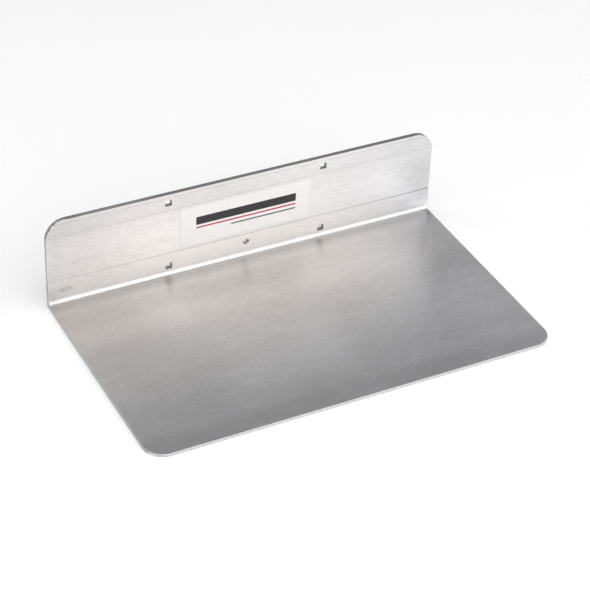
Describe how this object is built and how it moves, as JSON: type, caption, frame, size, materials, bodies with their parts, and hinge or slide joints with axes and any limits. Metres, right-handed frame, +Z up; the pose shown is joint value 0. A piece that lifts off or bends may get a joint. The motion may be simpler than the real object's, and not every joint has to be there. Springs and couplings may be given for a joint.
{
  "type": "hand truck nose plate",
  "caption": "L-shaped aluminium toe plate of a two-wheel hand truck: a tapered load plate under an upright bolting flange with square bolt holes and a recessed label.",
  "frame": {"origin": "on the floor under the middle of the part's outer box, on the centre line of the width", "axes": "+X along the width, -Y towards the front lip, +Y out of the flange's bolting face, +Z up"},
  "size_m": [0.508, 0.3048, 0.119],
  "materials": {
    "mill_aluminium": "mill finish extrusion, satin, fine lines along the width",
    "label_film": null
  },
  "bodies": {
    "root": {"nose_plate": "mill_aluminium", "label": "label_film"}
  },
  "joints": []
}
